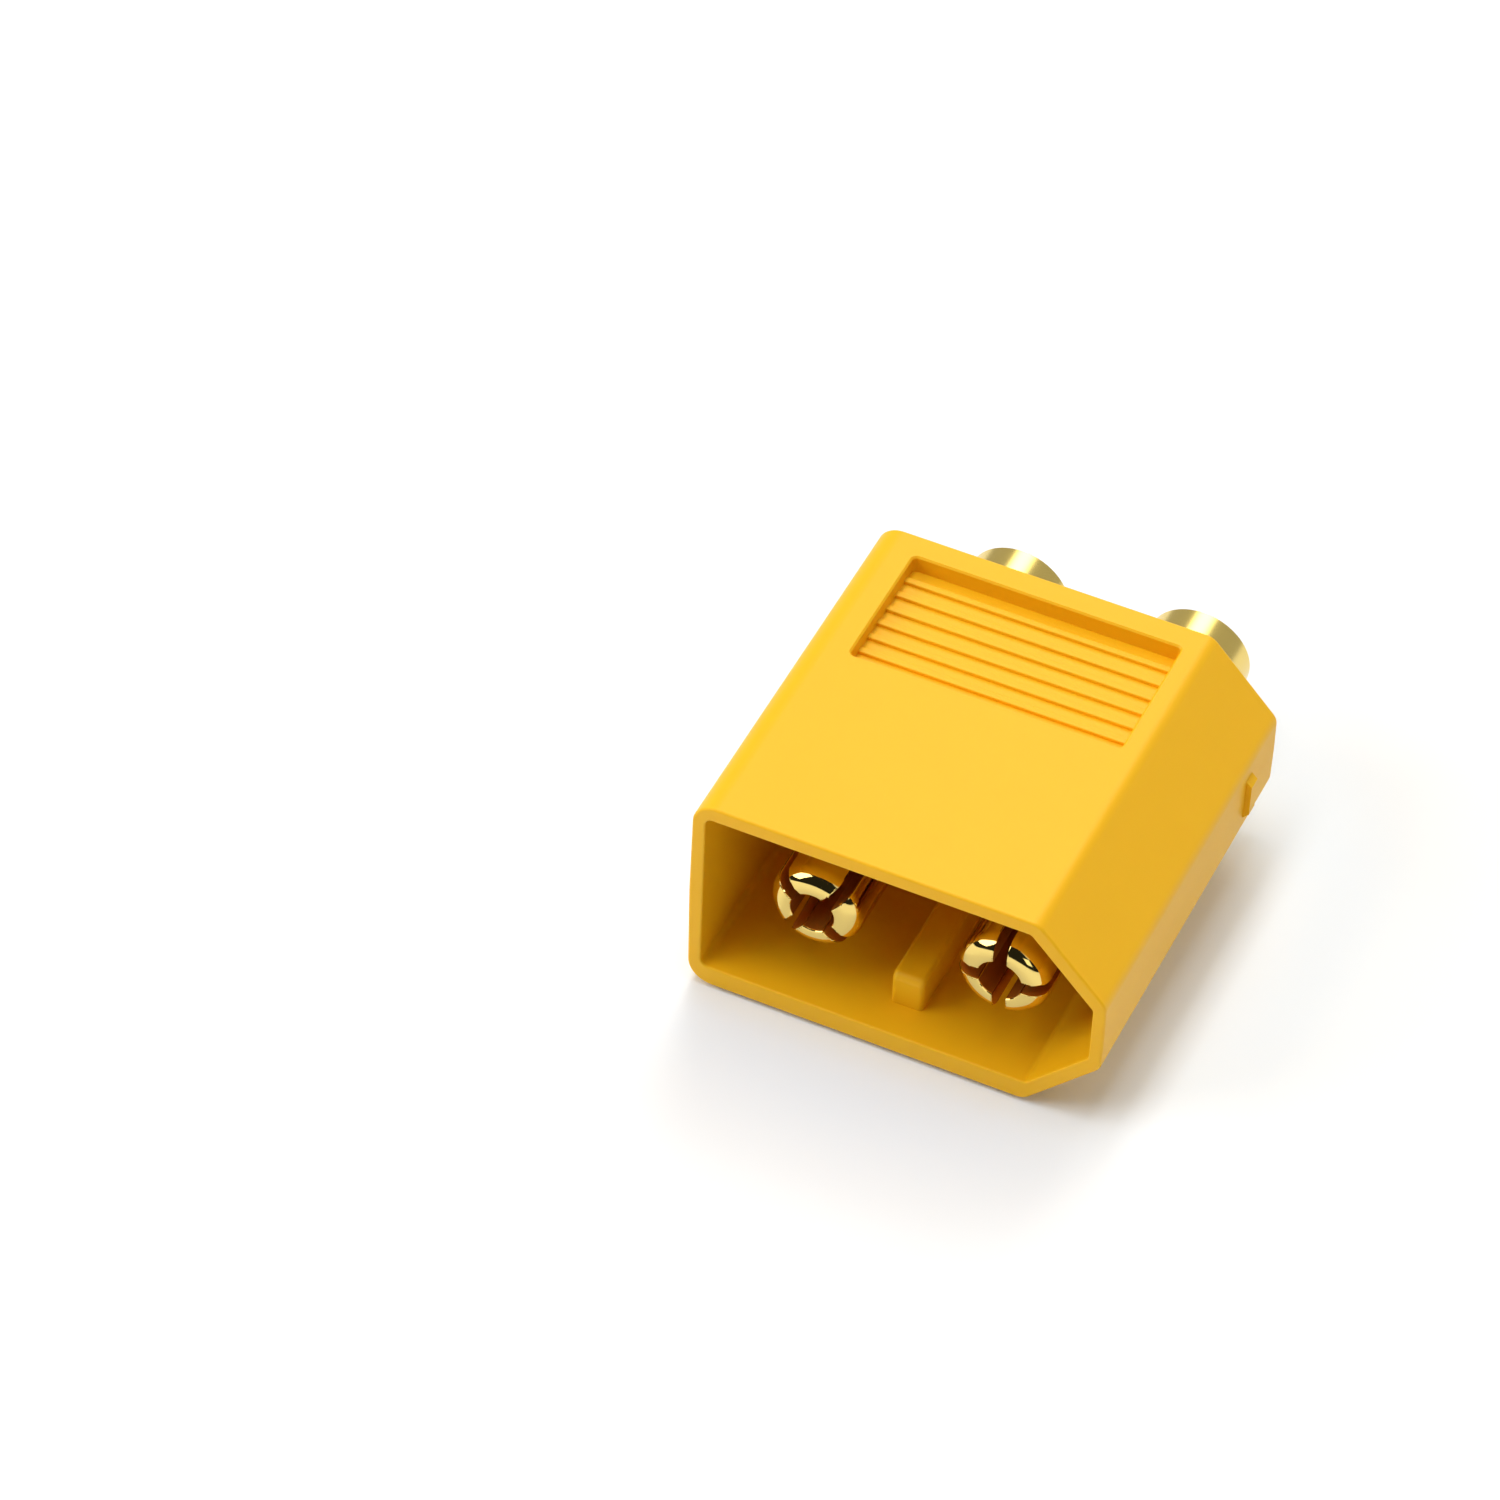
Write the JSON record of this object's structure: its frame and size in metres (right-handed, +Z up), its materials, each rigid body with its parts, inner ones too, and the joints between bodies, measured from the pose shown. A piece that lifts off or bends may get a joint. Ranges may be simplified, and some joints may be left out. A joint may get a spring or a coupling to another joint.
{
  "type": "two-pole power connector plug",
  "caption": "Keyed plug half of a two-pole power connector: a moulded shroud around split round pins, with solder cups at the back.",
  "frame": {"origin": "middle of the footprint, contacts included, on the surface that the part lies on", "axes": "+Y from the mouth to the solder cups, +X from the positive contact to the negative one, +Z up"},
  "size_m": [0.0164, 0.0194, 0.0089],
  "materials": {
    "yellow_nylon": "moulded, satin",
    "gold_plated_brass": "gold plated, bright"
  },
  "bodies": {
    "root": {"housing": "yellow_nylon", "contact_positive": "gold_plated_brass", "contact_negative": "gold_plated_brass"}
  },
  "joints": []
}
